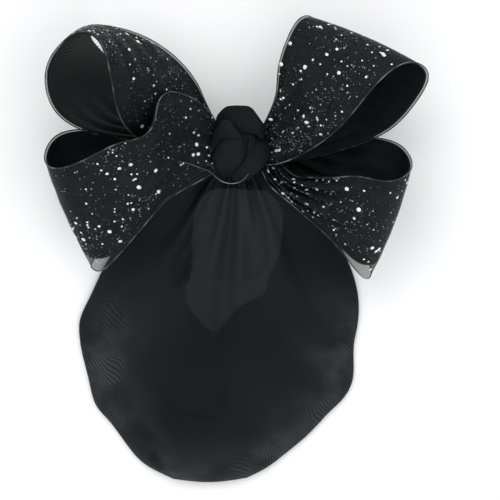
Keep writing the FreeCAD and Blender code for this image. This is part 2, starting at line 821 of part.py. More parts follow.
doc.recompute()
for obj in doc.Objects:
    if "Invalid" in obj.State or "Error" in obj.State:
        raise ValueError(f"{obj.Label} failed: {obj.State}")
for part in subparts:
    if part.Shape.isNull() or not part.Shape.isValid():
        raise ValueError(f"{part.Label} has no valid shape")
    box = part.Shape.BoundBox
    print(
        f"{part.Label:24s} {part.Shape.Volume:9.2f} mm3  x {box.XMin:.1f}..{box.XMax:.1f}"
        f"  y {box.YMin:.1f}..{box.YMax:.1f}  z {box.ZMin:.1f}..{box.ZMax:.1f}"
    )
    part.Shape.exportStep(f"parts/{part.Label}.step")
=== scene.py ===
import math

import bmesh
import bpy
import numpy as np
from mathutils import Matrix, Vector, noise


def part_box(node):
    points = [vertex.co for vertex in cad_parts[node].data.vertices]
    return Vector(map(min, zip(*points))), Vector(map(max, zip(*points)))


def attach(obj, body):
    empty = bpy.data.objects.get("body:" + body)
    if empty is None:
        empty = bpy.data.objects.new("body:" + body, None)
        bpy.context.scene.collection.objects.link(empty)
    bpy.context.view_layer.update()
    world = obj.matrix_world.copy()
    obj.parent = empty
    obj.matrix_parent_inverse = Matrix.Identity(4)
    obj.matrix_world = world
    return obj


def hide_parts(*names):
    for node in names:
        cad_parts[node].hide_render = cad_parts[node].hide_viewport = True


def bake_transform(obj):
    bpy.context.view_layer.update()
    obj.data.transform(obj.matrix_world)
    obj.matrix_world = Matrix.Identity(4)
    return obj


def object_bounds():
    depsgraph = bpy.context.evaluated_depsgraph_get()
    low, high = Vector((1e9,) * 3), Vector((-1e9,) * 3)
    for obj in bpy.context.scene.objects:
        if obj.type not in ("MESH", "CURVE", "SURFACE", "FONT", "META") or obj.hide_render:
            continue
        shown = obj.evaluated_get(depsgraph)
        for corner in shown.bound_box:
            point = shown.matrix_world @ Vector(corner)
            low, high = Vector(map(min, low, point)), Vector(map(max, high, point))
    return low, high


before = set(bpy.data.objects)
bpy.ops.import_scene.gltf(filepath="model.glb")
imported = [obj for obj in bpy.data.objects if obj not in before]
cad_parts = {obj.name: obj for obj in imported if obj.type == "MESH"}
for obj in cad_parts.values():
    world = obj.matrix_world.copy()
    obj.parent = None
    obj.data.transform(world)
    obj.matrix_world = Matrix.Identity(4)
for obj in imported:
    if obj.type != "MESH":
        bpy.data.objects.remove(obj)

CAD_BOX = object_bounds()
MM = 0.001
FLOOR = CAD_BOX[0][2]
TURN = 2 * math.pi
rng = np.random.default_rng(7)


# ---------------------------------------------------------------- camera, floor, light
SENSOR = 36.0            # millimetres
VIEW_WIDTH = 0.1425      # metres seen across the picture, at SHARP_LEVEL
VIEW_MIDDLE = (0.00285, -0.02907)
CAMERA_HEIGHT = 1.6
SHARP_LEVEL = 0.008
FLOOR_HALF = 1.5
LIGHT_AIM = (0, -0.03, 0)


def make_camera():
    """A long lens straight above, because the photograph shows hardly any perspective."""
    data = bpy.data.cameras.new("camera")
    data.sensor_width = SENSOR
    data.lens = SENSOR * CAMERA_HEIGHT / VIEW_WIDTH
    data.clip_end = 20.0
    camera = bpy.data.objects.new("camera", data)
    camera.location = (*VIEW_MIDDLE, SHARP_LEVEL + CAMERA_HEIGHT)
    bpy.context.scene.collection.objects.link(camera)
    bpy.context.scene.camera = camera


def make_light(name, place, size, power):
    """A square soft light, turned to the bow."""
    data = bpy.data.lights.new(name, "AREA")
    data.size = size
    data.energy = power
    light = bpy.data.objects.new(name, data)
    light.location = place
    aim = Vector(LIGHT_AIM) - Vector(place)
    light.rotation_euler = aim.to_track_quat("-Z", "Y").to_euler()
    bpy.context.scene.collection.objects.link(light)


def make_world():
    """Even, slightly cool light from all round."""
    world = bpy.data.worlds.new("studio")
    world.use_nodes = True
    sky = world.node_tree.nodes["Background"]
    sky.inputs["Color"].default_value = (0.97, 0.985, 1.0, 1)
    sky.inputs["Strength"].default_value = 1.0
    bpy.context.scene.world = world
    bpy.context.scene.view_settings.view_transform = "Standard"


def make_floor():
    """The pale surface that the photograph shows under the bow."""
    half = FLOOR_HALF
    corners = [(-half, -half, FLOOR), (half, -half, FLOOR), (half, half, FLOOR), (-half, half, FLOOR)]
    paint = new_material("floor_paint")
    set_inputs(paint, {"Base Color": (0.93, 0.935, 0.93, 1), "Roughness": 0.85})
    set_inputs(paint, {"Specular IOR Level": 0.1})
    floor = link_mesh("floor", corners, [(0, 1, 2, 3)], paint, smooth=False)


def make_studio():
    make_world()
    make_light("key", (-0.25, 0.55, 1.1), 0.6, 3.2)
    make_light("fill", (0.4, -0.5, 1.2), 1.0, 2.2)
    make_floor()


# ---------------------------------------------------------------- materials
# Noise and wave scales are per metre. Waves along X or Y repeat every WAVE_UNIT / scale metres.
WAVE_UNIT = 0.314
SHEER_WEAVE = 0.00035    # metres from thread to thread
CREPE_WEAVE = 0.0003


def new_material(name):
    material = bpy.data.materials.new(name)
    material.use_nodes = True
    return material


def principled(material):
    return material.node_tree.nodes["Principled BSDF"]


def set_inputs(material, values):
    shader = principled(material)
    for key, value in values.items():
        shader.inputs[key].default_value = value


def node(material, kind, inputs=None, **settings):
    made = material.node_tree.nodes.new(kind)
    for key, value in settings.items():
        setattr(made, key, value)
    for key, value in (inputs or {}).items():
        made.inputs[key].default_value = value
    return made


def join(material, start, output, end, socket):
    material.node_tree.links.new(start.outputs[output], end.inputs[socket])


def ramp(material, source, output, stops):
    """A colour ramp over a number, with (position, colour) stops."""
    made = node(material, "ShaderNodeValToRGB")
    elements = made.color_ramp.elements
    while len(elements) < len(stops):
        elements.new(0.5)
    for element, (position, colour) in zip(elements, stops):
        element.position = position
        element.color = (*colour, 1)
    join(material, source, output, made, "Fac")
    return made


def bump(material, source, output, strength, distance, below=None):
    made = node(material, "ShaderNodeBump", {"Strength": strength, "Distance": distance})
    join(material, source, output, made, "Height")
    if below:
        join(material, below, "Normal", made, "Normal")
    return made


def multiply(material, first, first_output, second, second_output):
    made = node(material, "ShaderNodeMath", operation="MULTIPLY")
    join(material, first, first_output, made, 0)
    join(material, second, second_output, made, 1)
    return made


def blended(material, amount, shade, colour):
    """The shade, with a plain colour laid over it where amount is 1."""
    mix = node(material, "ShaderNodeMix", data_type="RGBA")
    join(material, amount, "Value", mix, "Factor")
    join(material, shade, "Color", mix, "A")
    mix.inputs["B"].default_value = (*colour, 1)
    return mix


def colour_by(material, source, output):
    join(material, source, output, principled(material), "Base Color")


def relief_by(material, source):
    join(material, source, "Normal", principled(material), "Normal")


def woven(material, pitch):
    """Height of a plain weave: two fine waves across each other."""
    place = node(material, "ShaderNodeTexCoord")
    waves = []
    for direction in ("X", "Y"):
        wave = node(material, "ShaderNodeTexWave", {"Scale": WAVE_UNIT / pitch, "Distortion": 0.4})
        wave.bands_direction = direction
        join(material, place, "UV", wave, "Vector")
        waves.append(wave)
    return multiply(material, waves[0], "Fac", waves[1], "Fac")


def mottled(material, scale):
    """Cloudy noise over the object."""
    place = node(material, "ShaderNodeTexCoord")
    made = node(material, "ShaderNodeTexNoise", {"Scale": scale, "Detail": 4.0})
    join(material, place, "Object", made, "Vector")
    return made


def glitter_sheer():
    """Black sheer ribbon with a fine silver dust in some of its cells."""
    material = new_material("glitter_sheer")
    set_inputs(material, {"Roughness": 0.6, "Specular IOR Level": 0.16, "Alpha": 0.62})
    place = node(material, "ShaderNodeTexCoord")
    specks = node(material, "ShaderNodeTexVoronoi", {"Scale": 1250.0, "Randomness": 1.0})
    join(material, place, "UV", specks, "Vector")
    dot = ramp(material, specks, "Distance", [(0.0, (1, 1, 1)), (0.13, (0.6, 0.6, 0.6)), (0.17, (0, 0, 0))])
    chance = node(material, "ShaderNodeSeparateColor")
    join(material, specks, "Color", chance, "Color")
    chosen = ramp(material, chance, "Red", [(0.72, (0, 0, 0)), (0.86, (0.8, 0.8, 0.8))])
    dust = multiply(material, dot, "Color", chosen, "Color")
    cloth = mottled(material, 160.0)
    shade = ramp(material, cloth, "Fac", [(0.3, (0.006, 0.007, 0.008)), (0.7, (0.013, 0.015, 0.0165))])
    colour_by(material, blended(material, dust, shade, (0.24, 0.25, 0.26)), "Result")
    relief_by(material, bump(material, woven(material, SHEER_WEAVE), "Value", 0.5, 0.00008))
    return material


def grosgrain(name="grosgrain"):
    """Black corded ribbon: the cords are in the mesh, the fine threads along it are here."""
    material = new_material(name)
    set_inputs(material, {"Roughness": 0.52, "Specular IOR Level": 0.09})
    cloth = mottled(material, 220.0)
    shade = ramp(material, cloth, "Fac", [(0.3, (0.0040, 0.0053, 0.0064)), (0.7, (0.0076, 0.0099, 0.0118))])
    colour_by(material, shade, "Color")
    place = node(material, "ShaderNodeTexCoord")
    threads = node(material, "ShaderNodeTexWave", {"Scale": 1100.0, "Distortion": 0.6})
    threads.bands_direction = "Y"
    join(material, place, "UV", threads, "Vector")
    relief_by(material, bump(material, threads, "Fac", 0.35, 0.00006))
    return material


def moire_and_painted_light_amount(material):
    """Where and how strongly the crepe gets its painted light: a paler colour in wavy moire lines, in
    patches near its sides.
    """
    place = node(material, "ShaderNodeTexCoord")
    waves = node(material, "ShaderNodeTexWave", {
        "Scale": 620.0, "Distortion": 60.0, "Detail": 1.0, "Detail Scale": 0.1,
    })
    waves.bands_direction = "DIAGONAL"
    join(material, place, "UV", waves, "Vector")
    # the side attribute holds each point's share of painted light, set by the snood from its sides and tip
    side = node(material, "ShaderNodeAttribute", attribute_name="side")
    patch = ramp(material, mottled(material, 95.0), "Fac", [(0.36, (0.12, 0.12, 0.12)), (0.62, (1, 1, 1))])
    pale = multiply(material, side, "Fac", patch, "Color")
    line = ramp(material, waves, "Fac", [(0.25, (0.35, 0.35, 0.35)), (0.8, (1, 1, 1))])
    return multiply(material, pale, "Value", line, "Color")


def crepe():
    """Sheer crepe: dark and a little see-through, with watered (moire) lines towards its sides; the paler
    colour there is painted light, for light showing through the thin edges and for their sheen.
    """
    material = new_material("snood_crepe")
    set_inputs(material, {"Roughness": 0.66, "Specular IOR Level": 0.12, "Alpha": 0.9})
    amount = moire_and_painted_light_amount(material)
    dark, light = (0.0036, 0.0054, 0.0070), (0.0094, 0.0122, 0.0144)
    shade = ramp(material, mottled(material, 26.0), "Fac", [(0.35, dark), (0.65, light)])
    # painted light: a paler colour laid over the dark crepe near its sides and tip, in the moire lines
    colour_by(material, blended(material, amount, shade, (0.043, 0.048, 0.052)), "Result")
    fine = bump(material, woven(material, CREPE_WEAVE), "Value", 0.45, 0.00007)
    relief_by(material, bump(material, mottled(material, 900.0), "Fac", 0.35, 0.0001, below=fine))
    return material


def silver_dots(name, dark, light):
    """Printed silver: some dots are dark and some bright."""
    material = new_material(name)
    set_inputs(material, {"Roughness": 0.35, "Metallic": 0.25, "Coat Weight": 0.4})
    shade = ramp(material, mottled(material, 700.0), "Fac", [(0.35, dark), (0.65, light)])
    colour_by(material, shade, "Color")
    return material


def wire_with_painted_glints(name, dark):
    """Wire in a woven edge, with painted glints: paler patches in its colour here and there along its
    length.
    """
    material = new_material(name)
    set_inputs(material, {"Roughness": 0.32, "Metallic": 0.4})
    # painted highlight: the noise lays paler grey patches into the dark wire colour as glints
    shade = ramp(material, mottled(material, 240.0), "Fac", [(0.46, dark), (0.72, (0.24, 0.25, 0.26))])
    colour_by(material, shade, "Color")
    return material


def steel(name, base, rough):
    """Plated strip steel: fine brushed lines along X and a little staining."""
    material = new_material(name)
    set_inputs(material, {"Metallic": 1.0, "Roughness": rough})
    place = node(material, "ShaderNodeTexCoord")
    stretch = node(material, "ShaderNodeMapping", {"Scale": (60.0, 2600.0, 2600.0)})
    join(material, place, "Object", stretch, "Vector")
    lines = node(material, "ShaderNodeTexNoise", {"Scale": 1.0, "Detail": 3.0})
    join(material, stretch, "Vector", lines, "Vector")
    darker = tuple(channel * 0.72 for channel in base)
    shade = ramp(material, mottled(material, 120.0), "Fac", [(0.35, darker), (0.6, base)])
    colour_by(material, shade, "Color")
    rough_range = ramp(material, lines, "Fac", [(0.3, (rough * 0.8,) * 3), (0.7, (rough * 1.4,) * 3)])
    join(material, rough_range, "Color", principled(material), "Roughness")
    relief_by(material, bump(material, lines, "Fac", 0.25, 0.00003))
    return material


def glue_finish():
    """Yellowish hot glue, lumpy and shiny."""
    material = new_material("glue")
    set_inputs(material, {"Roughness": 0.25, "Base Color": (0.7, 0.67, 0.58, 1)})
    relief_by(material, bump(material, mottled(material, 500.0), "Fac", 0.5, 0.0002))
    return material


# ---------------------------------------------------------------- curves and sheets of points
TUBE_SIDES = 8
TUBE_UP = np.array([0.3, 0.2, 0.93])    # a direction that no tube here runs along


def step_lengths(points):
    return np.linalg.norm(np.diff(points, axis=0), axis=1)


def running_length(line):
    """The length along a line at each of its points, from 0."""
    return np.concatenate([[0], np.cumsum(step_lengths(line))])


def root_knots(steps):
    """Knots spaced by the roots of the steps, which helps a spline not to overshoot."""
    return np.concatenate([[0], np.cumsum(np.sqrt(steps))])


def spline(points, count, knots=None):
    """A natural cubic spline through points, at count even steps of its parameter."""
    values = np.array(points, float)
    if knots is None:
        knots = root_knots(step_lengths(values))
    n = len(knots)
    h = np.diff(knots)
    system = np.zeros((n, n))
    right = np.zeros((n, values.shape[1]))
    system[0, 0] = system[-1, -1] = 1.0
    for i in range(1, n - 1):
        system[i, i - 1 : i + 2] = (h[i - 1], 2 * (h[i - 1] + h[i]), h[i])
        right[i] = 6 * ((values[i + 1] - values[i]) / h[i] - (values[i] - values[i - 1]) / h[i - 1])
    bend = np.linalg.solve(system, right)
    at = np.linspace(knots[0], knots[-1], count)
    k = np.clip(np.searchsorted(knots, at, side="right") - 1, 0, n - 2)
    a = ((knots[k + 1] - at) / h[k])[:, None]
    b = ((at - knots[k]) / h[k])[:, None]
    hh = (h[k] ** 2 / 6)[:, None]
    return a * values[k] + b * values[k + 1] + ((a**3 - a) * bend[k] + (b**3 - b) * bend[k + 1]) * hh


def grid_normals(grid):
    """The unit normal at each point of a grid."""
    along = np.gradient(grid, axis=0)
    across = np.gradient(grid, axis=1)
    normal = np.cross(along, across)
    length = np.linalg.norm(normal, axis=2, keepdims=True)
    return normal / np.maximum(length, 1e-12)


def link_mesh(name, points, faces, material, smooth=True):
    """An object of these points and faces, in its material and in the scene."""
    mesh = bpy.data.meshes.new(name)
    mesh.from_pydata(points, [], faces)
    mesh.polygons.foreach_set("use_smooth", [smooth] * len(mesh.polygons))
    mesh.materials.append(material)
    piece = bpy.data.objects.new(name, mesh)
    bpy.context.scene.collection.objects.link(piece)
    return piece


def grid_mesh(name, grid, material, uv=None, keep=None):
    """A mesh over a grid of points; keep says which cells have a face."""
    rows, columns = grid.shape[:2]
    number = np.arange(rows * columns).reshape(rows, columns)
    cells = np.stack([number[:-1, :-1], number[1:, :-1], number[1:, 1:], number[:-1, 1:]], axis=2)
    faces = cells.reshape(-1, 4) if keep is None else cells[keep]
    piece = link_mesh(name, grid.reshape(-1, 3).tolist(), faces.tolist(), material)
    if uv is not None:
        layer = piece.data.uv_layers.new(name="cloth")
        layer.data.foreach_set("uv", uv.reshape(-1, 2)[faces.reshape(-1)].reshape(-1))
    return piece


def remove_loose(piece):
    """Deletes points that no face uses."""
    made = bmesh.new()
    made.from_mesh(piece.data)
    loose = [v for v in made.verts if not v.link_faces]
    bmesh.ops.delete(made, geom=loose, context="VERTS")
    made.to_mesh(piece.data)
    made.free()


def thicken(piece, thickness):
    """Gives a sheet its cloth thickness, to both sides."""
    solid = piece.modifiers.new("thickness", "SOLIDIFY")
    solid.thickness = thickness
    solid.offset = 0.0


def tube_mesh(name, path, radius, material):
    """A round tube along a line of points."""
    line = np.array(path)
    along = np.gradient(line, axis=0)
    along /= np.linalg.norm(along, axis=1, keepdims=True)
    side = np.cross(along, TUBE_UP)
    side /= np.linalg.norm(side, axis=1, keepdims=True)
    over = np.cross(side, along)
    rings = []
    for turn in np.linspace(0, TURN, TUBE_SIDES + 1):
        rings.append(line + radius * (math.cos(turn) * side + math.sin(turn) * over))
    return grid_mesh(name, np.stack(rings, axis=1), material)


# ---------------------------------------------------------------- ribbons
# Stations in millimetres along each ribbon: its upper edge's point, its lower edge's point.
# Both start and end behind the knot's middle. They follow the CAD ribbons within about 8 mm,
# with points moved and added where the photograph shows more of the shape.
RIBBON_A = [
    ((-0.5, 4.6, 4.2), (-0.5, -4.4, 4.2)),
    ((-4.8, 4.7, 4.1), (-5.2, -4.2, 4.6)),
    ((-13, 7.0, 3.0), (-17, -1.0, 8.4)),
    ((-23, 9.5, 0.5), (-29, 1.8, 13)),
    ((-29.5, 13, -1.5), (-43, 4.4, 21)),
    ((-33.4, 18.5, -2.5), (-52.3, 10.5, 27.5)),
    ((-37.4, 25.2, -2), (-54.6, 20, 33)),
    ((-42.9, 31.6, 0), (-51.3, 27.4, 36)),
    ((-40.8, 34.7, 3), (-45.5, 31.8, 38.5)),
    ((-33, 33.9, 8), (-39.8, 30, 39.5)),
    ((-25, 30.6, 11.5), (-37.2, 24, 38.5)),
    ((-18, 25.4, 12.5), (-35.4, 15.5, 36)),
    ((-13, 19.5, 12), (-32, 5.5, 27)),
    ((-10, 14, 10), (-21.5, -0.8, 15.2)),
    ((-6.6, 7.0, 7.6), (-10, -3.4, 8.4)),
    ((-4.6, 4.6, 7.2), (-4.8, -4.5, 7.3)),
    ((0, 4.6, 7.2), (0, -4.6, 7.2)),
    ((4.6, 3.8, 7.2), (4.8, -4.8, 7.2)),
    ((9, -1.5, 8.2), (7.8, -9.4, 8.0)),
    ((14.5, -7.6, 11.8), (12.4, -14.0, 10.2)),
    ((20, -8.5, 18), (17.4, -18.6, 12.5)),
    ((26, -8.6, 24), (22.8, -23.4, 14.2)),
    ((33.5, -8.4, 29), (28.5, -29, 14.8)),
    ((41.5, -9.8, 30.5), (33, -34.8, 12.5)),
    ((47.3, -7.6, 26), (35.9, -37.2, 8.5)),
    ((48.6, -3.6, 18), (37.4, -35.2, 5.0)),
    ((44, 1.6, 10.8), (33.5, -26.5, 3.8)),
    ((31, 3.6, 6.0), (23, -17, 3.4)),
    ((18, 4.6, 3.4), (13.5, -9.6, 3.0)),
    ((4.8, 4.6, 2.4), (4.8, -4.6, 2.5)),
    ((0.5, 4.6, 2.4), (0.5, -4.4, 2.4)),
]
RIBBON_B = [
    ((-0.5, 4.6, 2.4), (-0.5, -4.4, 2.4)),
    ((-4.8, 4.6, 2.4), (-4.8, -4.6, 2.5)),
    ((-14, 4.6, 2.6), (-12.5, -8.4, 3.2)),
    ((-25, 4.8, 3.2), (-23.5, -14, 3.8)),
    ((-41, 5.4, 5.2), (-36.5, -24.5, 4.0)),
    ((-52.4, 3.4, 9.6), (-42.2, -32.6, 4.8)),
    ((-55.4, -2.5, 17.2), (-42, -34.4, 6.6)),
    ((-52.6, -6.0, 26), (-39.4, -34.9, 9)),
    ((-44.5, -4.2, 30.5), (-34, -29.9, 14)),
    ((-33.8, 1.0, 33), (-27, -21.9, 16)),
    ((-27.2, 2.9, 32), (-22.4, -16.8, 16)),
    ((-24.0, 7.2, 29.5), (-19.0, -13.8, 15.2)),
    ((-22.6, 13.2, 25), (-15.6, -11.6, 14)),
    ((-18.6, 15.6, 20), (-12.4, -9.9, 12.8)),
    ((-12.0, 13.2, 15), (-9.4, -8.2, 11.6)),
    ((-7.6, 9.0, 12.2), (-6.8, -6.6, 10.8)),
    ((-4.6, 4.7, 10.0), (-4.6, -4.8, 9.9)),
    ((0, 4.6, 9.6), (0, -4.6, 9.6)),
    ((4.6, 4.7, 9.9), (4.8, -4.6, 10.0)),
    ((7.6, 9.0, 12.2), (10.5, -4.6, 13.0)),
    ((10, 15.5, 15.0), (20, -0.6, 21.0)),
    ((11, 22.8, 17.5), (29.5, 7.0, 31)),
    ((13.2, 30.2, 18.5), (37.5, 16.6, 36)),
    ((16.6, 36.2, 17.5), (46.6, 23.4, 35)),
    ((20.2, 37.2, 11.5), (53.0, 20.8, 26.5)),
    ((21, 33.5, 5.0), (50.4, 13.6, 19.5)),
    ((19.5, 25.5, 2.4), (42.6, 5.2, 14.5)),
    ((14.5, 16, 2.6), (29, -0.6, 10.8)),
    ((9, 9, 3.6), (14, -3.8, 6.8)),
    ((4.8, 4.7, 4.1), (5.2, -4.4, 4.5)),
    ((0.5, 4.6, 4.2), (0.5, -4.4, 4.2)),
]
RIBBON_WIDTH = 0.038        # metres, as all sizes below
LINING_GAP = 0.00048        # from the sheer ribbon in to the lining's middle
LINING_THICK = 0.00022
LINING_MARGIN = 0.012       # how far in the lining's edges lie, as a share of the width
RIB_PITCH = 0.00085
LINING_RIBS = 0.00012       # how far each rib stands out
EDGE_WIRE_RADIUS = 0.00017
LOOSE_WIRE_RADIUS = 0.00014
ALONG = 760                 # points along and across a ribbon
ACROSS = 44

# Pleats: how many, how high under the knot and beside it, and where they open out.
PLEATS = 4.5
SMALL_PLEATS = 2.3
PLEAT_UNDER_KNOT = 0.00055
PLEAT_BESIDE_KNOT = 0.0017
PLEATS_OPEN_FROM = 0.006
PLEATS_OPEN_OVER = 0.012
CROWN = 0.0012

# Where each ribbon's sheer tip is, how far it reaches, and how much of the lining it leaves off.
TIPS = {"a": (0.0365, -0.037, 0.007), "b": (-0.0421, -0.0345, 0.0062)}
TIP_REACH = 0.008
TIP_CUT = 0.13

# Glitter: how many dots, their smallest and their largest radius in millimetres.
DOT_KINDS = ((85, 0.44, 0.70), (290, 0.22, 0.38))
DUST_KINDS = ((260, 0.17, 0.27), (1900, 0.08, 0.16))
CLUSTERS = 26
CLUSTERED_SHARE = 0.45
CLUSTER_SPREAD = (0.018, 0.10)      # along and across, as shares of the ribbon
DOT_LIFT = 0.00006
DOT_DOME = ((1.0, 0.0), (0.6, 0.22))    # share of the radius and height of each ring, in radii
DOT_TOP = 0.3
ROUND_DOT_RADIUS = 0.0002           # larger dots have more sides


def pleat_relief(width, middle):
    """How far each point of a ribbon is pushed inward: pleats near the knot, less the crown."""
    gathered = np.clip(1 - width / RIBBON_WIDTH, 0, 1)
    from_knot = np.hypot(middle[:, 0], middle[:, 1])
    opening = np.clip((from_knot - PLEATS_OPEN_FROM) / PLEATS_OPEN_OVER, 0, 1)
    height = PLEAT_UNDER_KNOT * gathered + PLEAT_BESIDE_KNOT * gathered**1.4 * opening
    line = np.linspace(0, 1, ACROSS)
    folds = np.sin(TURN * PLEATS * line[None, :] + 0.6 * np.sin(from_knot * 170)[:, None])
    folds = folds + 0.35 * np.sin(TURN * SMALL_PLEATS * line[None, :] + from_knot[:, None] * 90)
    crown = CROWN * (1 - gathered)[:, None] * (1 - (2 * line - 1) ** 2)[None, :]
    return height[:, None] * folds - crown


def ribbon_grid(stations):
    """The ribbon's outer face as a grid, its inward normals, its length so far and its UVs."""
    upper = np.array([p for p, q in stations], float) * MM
    lower = np.array([q for p, q in stations], float) * MM
    knots = root_knots(0.5 * step_lengths(upper) + 0.5 * step_lengths(lower))
    edge_up = spline(upper, ALONG, knots)
    edge_low = spline(lower, ALONG, knots)
    line = np.linspace(0, 1, ACROSS)
    v = line[None, :, None]
    grid = edge_up[:, None, :] * (1 - v) + edge_low[:, None, :] * v
    inward = grid_normals(grid)
    middle = 0.5 * (edge_up + edge_low)
    width = np.linalg.norm(edge_low - edge_up, axis=1)
    grid = grid + inward * pleat_relief(width, middle)[:, :, None]
    run = running_length(middle)
    uv = np.stack(np.broadcast_arrays(run[:, None], line[None, :] * RIBBON_WIDTH), axis=2)
    return grid, grid_normals(grid), run, uv


def shorten(grid, letter):
    """Draws the lining's lower edge back at the loop's tip, where the sheer shows alone."""
    away = np.linalg.norm(grid[:, -1] - np.array(TIPS[letter]), axis=1)
    cut = TIP_CUT * np.exp(-((away / TIP_REACH) ** 2)) + LINING_MARGIN
    columns = grid.shape[1] - 1
    line = np.linspace(0, 1, columns + 1)
    at = (LINING_MARGIN + line[None, :] * (1 - LINING_MARGIN - cut)[:, None]) * columns
    first = np.minimum(at.astype(int), columns - 1)
    part = (at - first)[:, :, None]
    rows = np.arange(grid.shape[0])[:, None]
    return grid[rows, first] * (1 - part) + grid[rows, first + 1] * part


def random_spot(clusters):
    """A place on the ribbon, as shares of its length and width: in a cluster or anywhere."""
    if rng.uniform() < CLUSTERED_SHARE:
        return clusters[rng.integers(len(clusters))] + rng.normal(0, CLUSTER_SPREAD)
    return rng.uniform((0, 0), (1, 1))


def add_dome(points, faces, centre, normal, radius, stretch):
    """Adds one dot: two rings and a top, a little stretched one way."""
    side = np.cross(normal, (0.31, 0.87, 0.38))
    side /= np.linalg.norm(side)
    over = np.cross(normal, side)
    sides = 10 if radius > ROUND_DOT_RADIUS else 6
    first = len(points)
    for level, lift in DOT_DOME:
        for k in range(sides):
            turn = TURN * k / sides
            flat = math.cos(turn) * side + stretch * math.sin(turn) * over
            points.append(centre + radius * (level * flat + lift * normal))
    points.append(centre + radius * DOT_TOP * normal)
    for k in range(sides):
        after = (k + 1) % sides
        faces.append((first + k, first + after, first + sides + after, first + sides + k))
        faces.append((first + sides + k, first + sides + after, first + 2 * sides))


def glitter(name, grid, inward, run, kinds, material):
    """Printed glitter dots: small domes on the ribbon's outer face, clustered."""
    points, faces = [], []
    rows, columns = grid.shape[:2]
    clusters = rng.uniform((0, 0), (1, 1), (CLUSTERS, 2))
    for count, smallest, largest in kinds:
        for _ in range(count):
            spot = random_spot(clusters)
            radius = rng.uniform(smallest, largest) * MM
            if not (0.01 < spot[0] < 0.99 and 0.03 < spot[1] < 0.97):
                continue
            row = min(int(np.searchsorted(run, spot[0] * run[-1])), rows - 1)
            column = int(spot[1] * (columns - 1))
            normal = -inward[row, column]
            centre = grid[row, column] + normal * DOT_LIFT
            add_dome(points, faces, centre, normal, radius, rng.uniform(0.75, 1.0))
    return link_mesh(name, [tuple(p) for p in points], faces, material)


def loose_wire(grid, finish):
    """The loose end of the edge wire, which shows as a bright line under the knot."""
    path = []
    for x, y in [(-17.5, -4.0), (-14.5, -4.6), (-11.4, -5.7), (-8.6, -6.8)]:
        away = np.hypot(grid[:, :, 0] - x * MM, grid[:, :, 1] - y * MM)
        height = grid[:, :, 2][away < 0.0012].max() / MM
        path.append((x, y, height + 0.35))
    path += [(-5.6, -9.3, 15.0), (-2.4, -10.2, 15.0), (0.6, -9.4, 15.4), (2.4, -7.4, 16.4)]
    wire = tube_mesh("loose_wire_end", spline(np.array(path) * MM, 90), LOOSE_WIRE_RADIUS, finish)
    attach(wire, "bow")


def make_ribbon(letter, stations, finishes):
    """One ribbon ring: the sheer, its glitter, its lining and the wires in its edges."""
    grid, inward, run, uv = ribbon_grid(stations)
    outer = grid_mesh(f"sheer_ribbon_{letter}", grid, finishes["sheer"], uv)
    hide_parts(f"glitter_ribbon_{letter}")
    dots = glitter(f"glitter_dots_{letter}", grid, inward, run, DOT_KINDS, finishes["dots"])
    dust = glitter(f"glitter_dust_{letter}", grid, inward, run, DUST_KINDS, finishes["dust"])
    ribs = LINING_RIBS * np.sin(TURN * run / RIB_PITCH)
    inner = shorten(grid + inward * (LINING_GAP + ribs)[:, None, None], letter)
    lining = grid_mesh(f"lining_{letter}", inner, finishes["grosgrain"], uv)
    thicken(lining, LINING_THICK)
    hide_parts(f"lining_ribbon_{letter}")
    for which, column in (("upper", 0), ("lower", -1)):
        path = grid[::2, column]
        wire = tube_mesh(f"wire_{letter}_{which}", path, EDGE_WIRE_RADIUS, finishes["wire"])
        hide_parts(f"edge_wire_{letter}_{which}")
        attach(wire, "bow")
    if letter == "b":
        loose_wire(grid, finishes["bright_wire"])
    for piece in (outer, dots, dust, lining):
        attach(piece, "bow")


# ---------------------------------------------------------------- knot and bands
STRAP_ALONG = 150               # points along and across a strap
STRAP_ACROSS = 34
KNOT_MIDDLE = (-0.7, 1.4)       # millimetres, as the paths and the widths of straps
KNOT_TIGHT = (0.80, 0.90)       # how far the straps are drawn in, along X and Y
KNOT_NARROW = 0.86              # and their widths


def strap(name, path, widths, sides, material, crown=0.0, ribs=0.00007, thick=0.0007):
    """A grosgrain strap along a path; sides are the directions across it at each point."""
    points = np.array(path, float) * MM
    knots = root_knots(step_lengths(points))
    line = spline(points, STRAP_ALONG, knots)
    spread = spline(sides, STRAP_ALONG, knots)
    spread /= np.linalg.norm(spread, axis=1, keepdims=True)
    stops = np.linspace(0, 1, len(widths))
    width = np.interp(np.linspace(0, 1, STRAP_ALONG), stops, np.array(widths, float) * MM)
    v = np.linspace(-1, 1, STRAP_ACROSS)
    across = 0.5 * width[:, None] * v[None, :]
    grid = line[:, None, :] + spread[:, None, :] * across[:, :, None]
    run = running_length(line)
    lift = -crown * MM * (v**2)[None, :] + ribs * np.sin(TURN * run / RIB_PITCH)[:, None]
    grid = grid + grid_normals(grid) * lift[:, :, None]
    uv = np.stack(np.broadcast_arrays(run[:, None], across), axis=2)
    piece = grid_mesh(name, grid, material, uv)
    thicken(piece, thick)
    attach(piece, "bow")
    return piece


def knot_strap(name, path, widths, sides, material, crown, ribs=0.00007):
    """One strap of the knot, drawn in towards the knot's middle so that the folds lie tight."""
    drawn = []
    for x, y, z in path:
        near_x = KNOT_MIDDLE[0] + KNOT_TIGHT[0] * (x - KNOT_MIDDLE[0])
        near_y = KNOT_MIDDLE[1] + KNOT_TIGHT[1] * (y - KNOT_MIDDLE[1])
        drawn.append((near_x, near_y, z))
    narrow = [KNOT_NARROW * width for width in widths]
    return strap(name, drawn, narrow, sides, material, crown=crown, ribs=ribs)


